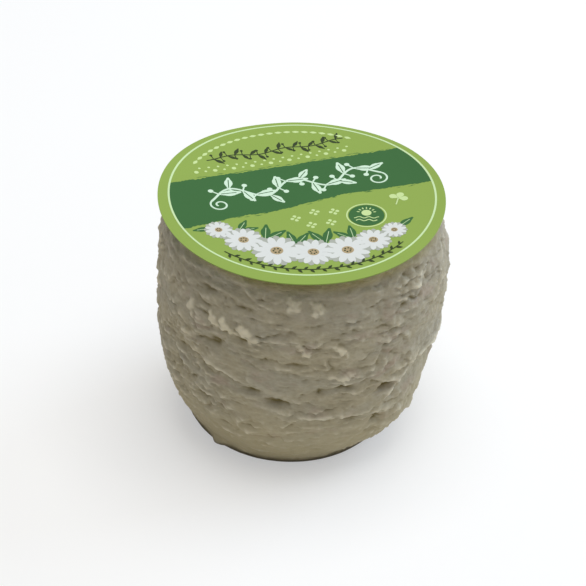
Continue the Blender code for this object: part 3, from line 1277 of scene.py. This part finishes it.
@dataclass
class PaperLabel:
    """The label's sheet and everything printed on it, drawn round the label's middle."""

    surface: PaperSurface
    grain: bpy.types.NodeTree
    inks: LabelInks = LabelInks()
    sheet_rings: int = 24
    sheet_steps: int = 192
    ring_radius: float = 28.1 * MM
    ring_width: float = 0.42 * MM
    ring_centre: Vector = field(default_factory=lambda: Vector((0.1 * MM, 1.0 * MM, 0.0)))
    ink: float = 0.03 * MM
    tilt: float = math.radians(20.5)
    stroke_step: float = 0.45 * MM
    band_columns: int = 340
    band_rows: int = 16
    band_low: tuple[Span, ...] = (
        (-27.0, -4.2), (-16.0, -2.4), (-6.0, -2.6), (9.0, -0.8), (16.0, -1.4), (27.0, -3.0),
    )
    band_high: tuple[Span, ...] = (
        (-25.0, 12.2), (-15.0, 13.0), (-4.0, 13.1), (14.0, 12.8), (25.0, 11.7),
    )
    brush_waves: tuple[tuple[float, float, float], ...] = (
        (0.30 * MM, 2.6 * MM, 0.0), (0.26 * MM, 0.55 * MM, 4.0),
    )
    brush_seed: int = 5
    flecks: int = 46
    badge_place: Span = (13.6 * MM, -5.4 * MM)
    badge_radius: float = 3.75 * MM
    sun_radius: float = 1.05 * MM
    sun_height: float = 0.9 * MM
    sun_rays: int = 7
    clover_place: Span = (20.3 * MM, 1.0 * MM)
    daisy: DaisyShape = DaisyShape()
    daisy_lift: float = 0.003 * MM
    leaf_length: float = 5.6 * MM
    leaf_width: float = 2.1 * MM
    leaf_fan: float = 24.0

    def inked(self, piece: bpy.types.Object) -> bpy.types.Object:
        """Gives flat faces the ink's thickness, downwards."""
        apply_modifier(piece, "SOLIDIFY", thickness=self.ink, offset=-1.0)
        return piece

    def stroked(self, lines: Sequence[Sequence[Vector]], width: float) -> bpy.types.Object:
        """Pen strokes along lines, pressed flat.

        Args:
            lines: rows of points at height 0.
            width: the strokes' width.

        Returns:
            The new object, as thick as the ink.
        """
        piece = line_piece("stroke", [evenly(line, self.stroke_step) for line in lines], width / 2.0)
        with editing(piece):
            bpy.ops.transform.resize(value=(1.0, 1.0, self.ink / width))
            bpy.ops.transform.translate(value=(0.0, 0.0, -self.ink / 2.0))
        return piece

    def print_on(self, piece: bpy.types.Object, name: str, layer: Layer, ink: PrintFinish) -> None:
        """Lays a finished motif on the paper and hands it over.

        Args:
            piece: the motif, drawn round the label's middle, its top about at height 0.
            name: the piece's name.
            layer: how high the ink lies.
            ink: what it wears.
        """
        piece.name = piece.data.name = name
        self.surface.settle(piece, layer.value)
        hand_over(piece, ink.material(self.grain))

    def on_band(self, along: float, up: float) -> Vector:
        """A place in the band's tilted frame, given in millimetres, as a place on the label."""
        return Matrix.Rotation(self.tilt, 3, "Z") @ Vector((along * MM, up * MM, 0.0))

    def on_arc(self, degrees: float, reach: float) -> Vector:
        """A place round the ring's middle, its reach in millimetres, as a place on the label."""
        turn = math.radians(degrees)
        return self.ring_centre + reach * MM * Vector((math.cos(turn), math.sin(turn), 0.0))

    def sheet(self) -> None:
        """The paper disc, with rings enough to follow its curl and its slight waves."""
        select_none()
        radius, thickness = self.surface.radius, self.surface.thickness
        bpy.ops.mesh.primitive_circle_add(vertices=self.sheet_steps, radius=radius, fill_type="NOTHING")
        piece = active_piece("label_sheet")
        with editing(piece):
            for ring in range(self.sheet_rings, 1, -1):
                share = (ring - 1) / ring
                bpy.ops.mesh.extrude_edges_move()
                bpy.ops.transform.resize(value=(share, share, 1.0))
            bpy.ops.mesh.edge_face_add()
            bpy.ops.mesh.poke()
            bpy.ops.mesh.select_all(action="SELECT")
            bpy.ops.mesh.normals_make_consistent(inside=False)
        face_up(piece)
        apply_modifier(piece, "SOLIDIFY", thickness=thickness, offset=-1.0)
        self.surface.settle(piece, 0.0)
        select_only(piece)
        bpy.ops.object.shade_smooth_by_angle(angle=math.radians(40.0))
        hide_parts("label")
        hand_over(piece, self.inks.paper.material(self.grain))

    def ring(self) -> None:
        """The pale line inside the label's edge."""
        piece = flat_ring(self.ring_radius, self.ring_width, sides=240)
        piece.data.transform(Matrix.Translation(self.ring_centre))
        self.print_on(self.inked(piece), "print_ring", Layer.DETAIL, self.inks.line)

    def band_edge(self, knots: Sequence[Span], along: float, seed: float | None = None) -> float:
        """Where the band ends, with the raggedness of a dry brush.

        Args:
            knots: the edge's points in the band's frame, in millimetres.
            along: the place along the band, in metres.
            seed: tells one edge from the other, and without it the edge is even.

        Returns:
            The edge's place across the band, in metres.
        """
        edge = float(np.interp(along / MM, [knot[0] for knot in knots], [knot[1] for knot in knots])) * MM
        if seed is not None:
            for depth, size, shift in self.brush_waves:
                edge += depth * noise.noise(Vector((along / size, seed, shift)))
        return edge

    def brush_flecks(self) -> bpy.types.Object:
        """The thin flecks that a dry brush leaves beside the band."""
        draw = random.Random(self.brush_seed)
        places = []
        for _ in range(self.flecks):
            along = draw.uniform(-22.0, 24.0) * MM
            knots, side = draw.choice(((self.band_low, -1.0), (self.band_high, 1.0)))
            up = self.band_edge(knots, along) + side * draw.uniform(0.15, 0.62) * MM
            places.append(spot(along, up, draw.uniform(-0.06, 0.06), draw.uniform(0.5, 1.3)))
        return copied("flecks", flat_leaf(1.5 * MM, 0.16 * MM, sides=8), places)

    def band(self) -> None:
        """The dark green band with ragged edges, cut off at the ring line, and the flecks beside it."""
        select_none()
        columns, rows = self.band_columns, self.band_rows
        bpy.ops.mesh.primitive_grid_add(x_subdivisions=columns, y_subdivisions=rows, size=2.0)
        piece = active_piece("band")
        middle = Matrix.Rotation(-self.tilt, 3, "Z") @ self.ring_centre
        for vertex in piece.data.vertices:
            swing = self.ring_radius * math.sin(vertex.co.x * math.pi / 2.0)
            reach = math.sqrt(max(self.ring_radius**2 - swing**2, 0.0))
            along, share = middle.x + swing, (vertex.co.y + 1.0) / 2.0
            low = max(self.band_edge(self.band_low, along, 1.7), middle.y - reach)
            high = max(min(self.band_edge(self.band_high, along, 8.3), middle.y + reach), low)
            vertex.co = (along, low + (high - low) * share, 0.0)
        face_up(piece)
        piece = joined("band", [self.inked(piece), self.inked(self.brush_flecks())])
        piece.data.transform(Matrix.Rotation(self.tilt, 4, "Z"))
        self.print_on(piece, "print_band", Layer.FIELD, self.inks.dark)

    def sprig(self, stem: Sequence[Vector], shape: SprigShape) -> bpy.types.Object:
        """A stem with leaves in turn on both sides.

        Args:
            stem: the stem's points.
            shape: its sizes.

        Returns:
            The new object.
        """
        leaf = flat_leaf(shape.leaf_length, shape.leaf_width)
        parts = [self.stroked([stem], shape.stroke), self.inked(copied("leaves", leaf, shape.leaves(stem)))]
        if shape.berry_radius:
            stalks = shape.stalks(stem)
            parts.append(self.stroked(stalks, shape.stalk_share * shape.stroke))
            dots = [spot(*end.xy) for _, end in stalks]
            parts.append(self.inked(copied("berries", flat_disc(shape.berry_radius, sides=10), dots)))
        return joined("sprig", parts)

    def veins(self, leaves: Sequence[Matrix], length: float, width: float) -> bpy.types.Object:
        """The middle veins of copied leaves.

        Args:
            leaves: where the leaves lie.
            length: the leaf motif's length.
            width: the vein's width.

        Returns:
            The new object.
        """
        ends = [Vector((share * length, 0.0, 0.0)) for share in (0.10, 0.78)]
        return self.stroked([[leaf @ end for end in ends] for leaf in leaves], width)

    def vine(self) -> None:
        """The pale vine that winds along the band, with a curl at each end and veins in its leaves."""
        step, middle, swing, length, shift = 0.5, 5.6, 2.2, 14.0, 3.0
        stem = [
            self.on_band(step * i, middle + swing * math.sin(2.0 * math.pi * (step * i + shift) / length))
            for i in range(-37, 40)
        ]
        shape = SprigShape(
            stroke=0.66 * MM, leaf_length=4.9 * MM, leaf_width=2.1 * MM, spacing=3.0 * MM,
            berry_radius=0.60 * MM, berry_reach=2.0 * MM,
        )
        first_way, last_way = (stem[0] - stem[1]).normalized(), (stem[-1] - stem[-2]).normalized()
        curls = [
            curl(stem[0], first_way, radius=2.1 * MM, side=1.0),
            curl(stem[-1], last_way, radius=2.3 * MM, side=-1.0),
        ]
        piece = joined("vine", [self.sprig(stem, shape), self.stroked(curls, 0.5 * MM)])
        self.print_on(piece, "print_vine", Layer.MOTIF, self.inks.mint)
        veins = self.veins(shape.leaves(stem), shape.leaf_length, 0.20 * MM)
        self.print_on(veins, "print_vine_veins", Layer.TOP, self.inks.dark)

    def top_sprig(self) -> None:
        """The dark sprig across the upper field."""
        step, middle, swing, turn = 0.5, 19.4, 0.5, 0.26
        stem = [self.on_band(step * i, middle + swing * math.sin(turn * i)) for i in range(-30, 34)]
        shape = SprigShape(
            stroke=0.34 * MM, leaf_length=2.7 * MM, leaf_width=0.95 * MM, spacing=1.7 * MM,
            splay=math.radians(54.0), berry_radius=0.34 * MM, berry_reach=1.5 * MM,
        )
        self.print_on(self.sprig(stem, shape), "print_sprig", Layer.MOTIF, self.inks.black)

    def cream_rows(self) -> None:
        """Small cream marks: lozenges along the ring, dots below the sprig and blossoms by the badge."""
        first, apart, reach = 66.0, 4.4, 25.3
        lozenges = []
        for i in range(21):
            degrees = first + apart * i
            lozenges.append(spot(*self.on_arc(degrees, reach).xy, math.radians(degrees + 90.0)))
        first, apart, levels, large = -18.5, 1.05, (15.0, 16.3), 1.7
        dots = []
        for i in range(34):
            place = self.on_band(first + apart * i, levels[i % 2])
            dots.append(spot(*place.xy, size=1.0 if i % 4 else large))
        petals = []
        for along, up in ((-3.6, -6.4), (0.9, -5.4), (4.9, -6.4), (-1.2, -9.6), (3.0, -9.9)):
            place = self.on_band(along, up)
            petals += [spot(*place.xy, self.tilt + i * math.pi / 2.0) for i in range(4)]
        parts = [
            copied("lozenges", flat_leaf(1.75 * MM, 0.85 * MM, sides=8), lozenges),
            copied("dots", flat_disc(0.30 * MM, sides=10), dots),
            copied("blossoms", flat_petal(1.15 * MM, 0.85 * MM, 0.22 * MM, sides=10), petals),
        ]
        self.print_on(self.inked(joined("rows", parts)), "print_rows", Layer.MOTIF, self.inks.cream)

    def badge_drawing(self) -> bpy.types.Object:
        """The badge's rim, its sun with rays and the two waves below, drawn round the origin."""
        first, apart = 12.0, 26.0
        rays = [spot(0.0, self.sun_height, math.radians(first + apart * i)) for i in range(self.sun_rays)]
        ray = flat_leaf(0.8 * MM, 0.34 * MM, sides=8)
        ray.data.transform(Matrix.Translation((1.35 * MM, 0.0, 0.0)))
        sun = flat_disc(self.sun_radius, sides=20)
        sun.data.transform(Matrix.Translation((0.0, self.sun_height, 0.0)))
        step, swing, turn = 0.2 * MM, 0.28 * MM, 0.62
        waves = [
            [Vector((step * i, level + swing * math.sin(turn * i), 0.0)) for i in range(-reach, reach + 1)]
            for level, reach in ((-0.75 * MM, 13), (-1.75 * MM, 11))
        ]
        rim = flat_ring(self.badge_radius + 0.35 * MM, 0.30 * MM, sides=64)
        flat = joined("badge", [rim, sun, copied("rays", ray, rays)])
        return joined("badge", [self.inked(flat), self.stroked(waves, 0.34 * MM)])

    def clover(self) -> bpy.types.Object:
        """A clover with three leaves and a stalk."""
        place = Vector((*self.clover_place, 0.0))
        leaves = [spot(*place.xy, math.radians(turn)) for turn in (70.0, 150.0, -10.0)]
        stalk = [place, place + Vector((-0.5 * MM, -2.4 * MM, 0.0))]
        blades = copied("clover", flat_petal(2.1 * MM, 1.7 * MM, 0.1 * MM), leaves)
        return joined("clover", [self.inked(blades), self.stroked([stalk], 0.34 * MM)])

    def badge(self) -> None:
        """A round badge with a sun over two waves, and a clover beside it."""
        move = Matrix.Translation((*self.badge_place, 0.0))
        field_disc = flat_disc(self.badge_radius, sides=48)
        field_disc.data.transform(move)
        self.print_on(self.inked(field_disc), "print_badge_field", Layer.MOTIF, self.inks.dark)
        drawing = self.badge_drawing()
        drawing.data.transform(move)
        self.print_on(joined("badge", [drawing, self.clover()]), "print_badge", Layer.DETAIL, self.inks.cream)

    def daisies(self) -> None:
        """The daisies of the lower field, each a little above the one before."""
        shape = self.daisy
        back, front, hearts, seeds = [], [], [], []
        for i, (degrees, reach, size, turn) in enumerate((
            (219.0, 21.8, 3.1, 0.1), (235.0, 20.4, 4.3, 0.5), (256.5, 20.6, 5.3, 0.2),
            (277.5, 20.2, 4.7, 0.9), (297.0, 21.2, 5.0, 0.4), (314.5, 21.2, 3.9, 0.7),
            (329.0, 22.4, 2.8, 0.3),
        )):
            x, y, _ = self.on_arc(degrees, reach)
            lift = i * self.daisy_lift
            for j in range(shape.petals):
                way = turn + 2.0 * math.pi * j / shape.petals
                front.append(spot(x, y, way, shape.front_share * size, lift))
                back.append(spot(x, y, way + math.pi / shape.petals, size, lift))
            hearts.append(spot(x, y, 0.0, size, lift))
            ways = [turn + 2.0 * math.pi * j / shape.seeds for j in range(shape.seeds)]
            seeds += [spot(x, y, way, size, lift) for way in ways]
        seed = flat_disc(shape.seed, sides=8)
        seed.data.transform(Matrix.Translation((shape.seed_reach, 0.0, 0.0)))
        inks = self.inks
        for name, motif, places, layer, ink in (
            ("print_petals_back", flat_petal(*shape.back, sides=12), back, Layer.MOTIF, inks.shade),
            ("print_petals", flat_petal(*shape.front, sides=12), front, Layer.DETAIL, inks.white),
            ("print_hearts", flat_disc(shape.heart, sides=18), hearts, Layer.TOP, inks.heart),
            ("print_seeds", seed, seeds, Layer.LAST, inks.black),
        ):
            self.print_on(self.inked(copied("daisies", motif, places)), name, layer, ink)

    def garland(self) -> None:
        """The daisies with dark leaves between them, and a dark laurel along the ring."""
        leaves = []
        for degrees, reach, size in (
            (227.0, 18.9, 0.80), (246.0, 17.9, 1.0), (267.0, 18.0, 0.95), (287.0, 17.6, 1.0),
            (306.0, 18.6, 0.90),
        ):
            place = self.on_arc(degrees, reach)
            for way in (-self.leaf_fan, self.leaf_fan):
                leaves.append(spot(*place.xy, math.radians(degrees + 180.0 + way), size))
        for degrees, reach, turn, size in ((216.0, 22.6, 200.0, 0.75), (332.0, 22.6, 48.0, 0.85)):
            leaves.append(spot(*self.on_arc(degrees, reach).xy, math.radians(turn), size))
        blades = copied("leaves", flat_leaf(self.leaf_length, self.leaf_width), leaves)
        self.print_on(self.inked(blades), "print_leaves", Layer.FIELD, self.inks.dark)
        self.daisies()
        veins = self.veins(leaves, self.leaf_length, 0.16 * MM)
        self.print_on(veins, "print_veins", Layer.MOTIF, self.inks.line)
        laurel_reach = 26.2
        stem = [self.on_arc(degrees, laurel_reach) for degrees in range(234, 324)]
        shape = SprigShape(stroke=0.24 * MM, leaf_length=1.45 * MM, leaf_width=0.62 * MM, spacing=1.25 * MM)
        self.print_on(self.sprig(stem, shape), "print_laurel", Layer.LAST, self.inks.black)

    def build(self) -> None:
        """Makes the sheet and its whole print."""
        self.sheet()
        self.ring()
        self.band()
        self.vine()
        self.top_sprig()
        self.cream_rows()
        self.badge()
        self.garland()


@dataclass(frozen=True)
class SoftLight:
    """A square soft light that looks at the cheese."""

    name: str
    place: tuple[float, float, float]
    size: float
    watts: float
    colour: Colour
    target: tuple[float, float, float] = (0.0, 0.0, 0.03)

    def build(self) -> None:
        """Hangs the light."""
        light = bpy.data.lights.new(self.name, "AREA")
        light.size, light.energy, light.color = self.size, self.watts, self.colour
        lamp = bpy.data.objects.new(self.name, light)
        bpy.context.scene.collection.objects.link(lamp)
        lamp.location = self.place
        lamp.rotation_euler = (Vector(self.target) - lamp.location).to_track_quat("-Z", "Y").to_euler()


@dataclass(frozen=True)
class Studio:
    """A plain pale floor, soft light from above and the camera."""

    camera_place: Vector = field(default_factory=lambda: Vector((-0.0005, -0.3713, 0.3100)))
    camera_right: Vector = field(default_factory=lambda: Vector((0.99939, 0.02105, 0.02792)))
    camera_up: Vector = field(default_factory=lambda: Vector((-0.03496, 0.60166, 0.79798)))
    lens_mm: float = 131.5
    sensor_mm: float = 36.0
    floor_size: float = 6.0
    floor_seen: Colour = (0.93, 0.93, 0.92)
    floor_bounce: Colour = (0.80, 0.78, 0.72)
    floor_glow: float = 0.94
    floor_glow_share: float = 0.45
    lights: tuple[SoftLight, ...] = (
        SoftLight("soft_top", (0.10, 0.05, 0.95), 0.70, 6.35, (1.0, 0.99, 0.965)),
        SoftLight("soft_right", (0.66, 0.38, 0.34), 0.50, 3.7, (0.65, 0.79, 1.0)),
    )
    sky: Colour = (0.97, 0.98, 1.0)
    sky_strength: float = 0.40

    def floor(self) -> None:
        """The floor, which keeps its shadows soft and throws back a little less light than it shows."""
        select_none()
        bpy.ops.mesh.primitive_plane_add(size=self.floor_size)
        piece = active_piece("floor")
        material, sheet, shader = new_material("floor_pale")
        sheet.tree.nodes.remove(shader)
        lit = sheet.add("ShaderNodeBsdfDiffuse", {"Color": self.floor_seen})
        glow = sheet.add("ShaderNodeEmission", {"Strength": self.floor_glow})
        bounce = sheet.add("ShaderNodeBsdfDiffuse", {"Color": self.floor_bounce})
        links = {0: self.floor_glow_share, 1: lit.outputs[0], 2: glow.outputs[0]}
        seen = sheet.add("ShaderNodeMixShader", links)
        path = sheet.add("ShaderNodeLightPath")
        links = {0: path.outputs["Is Camera Ray"], 1: bounce.outputs[0], 2: seen.outputs[0]}
        mix = sheet.add("ShaderNodeMixShader", links)
        sheet.feed(sheet.tree.nodes["Material Output"], {"Surface": mix.outputs[0]})
        piece.data.materials.append(material)

    def camera(self) -> None:
        """The camera at the photograph's place, with no shift."""
        data = bpy.data.cameras.new("camera")
        data.lens = self.lens_mm
        data.sensor_width = self.sensor_mm
        data.clip_start = 0.01
        camera = bpy.data.objects.new("camera", data)
        bpy.context.scene.collection.objects.link(camera)
        back = self.camera_right.cross(self.camera_up).normalized()
        turn = Matrix((self.camera_right, self.camera_up, back)).transposed().to_4x4()
        camera.matrix_world = Matrix.Translation(self.camera_place) @ turn
        bpy.context.scene.camera = camera

    def build(self) -> None:
        """Sets the whole studio up."""
        self.floor()
        for light in self.lights:
            light.build()
        world = bpy.data.worlds.new("studio")
        world.use_nodes = True
        background = {"Color": self.sky, "Strength": self.sky_strength}
        NodeSheet(world.node_tree).feed(world.node_tree.nodes["Background"], background)
        bpy.context.scene.world = world
        bpy.context.scene.view_settings.view_transform = "Standard"
        self.camera()


def main() -> None:
    """Builds the cheese, its label and the studio, and reports each piece."""
    logging.basicConfig(level=logging.INFO, format="%(message)s")
    label_low, label_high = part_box("label")
    surface = PaperSurface(centre=(label_low + label_high) / 2.0, top=label_high.z)
    CheeseBody(paper=surface).build(RindFinish())
    PaperLabel(surface, paper_grain_group()).build()
    Studio().build()


if __name__ == "__main__":
    main()
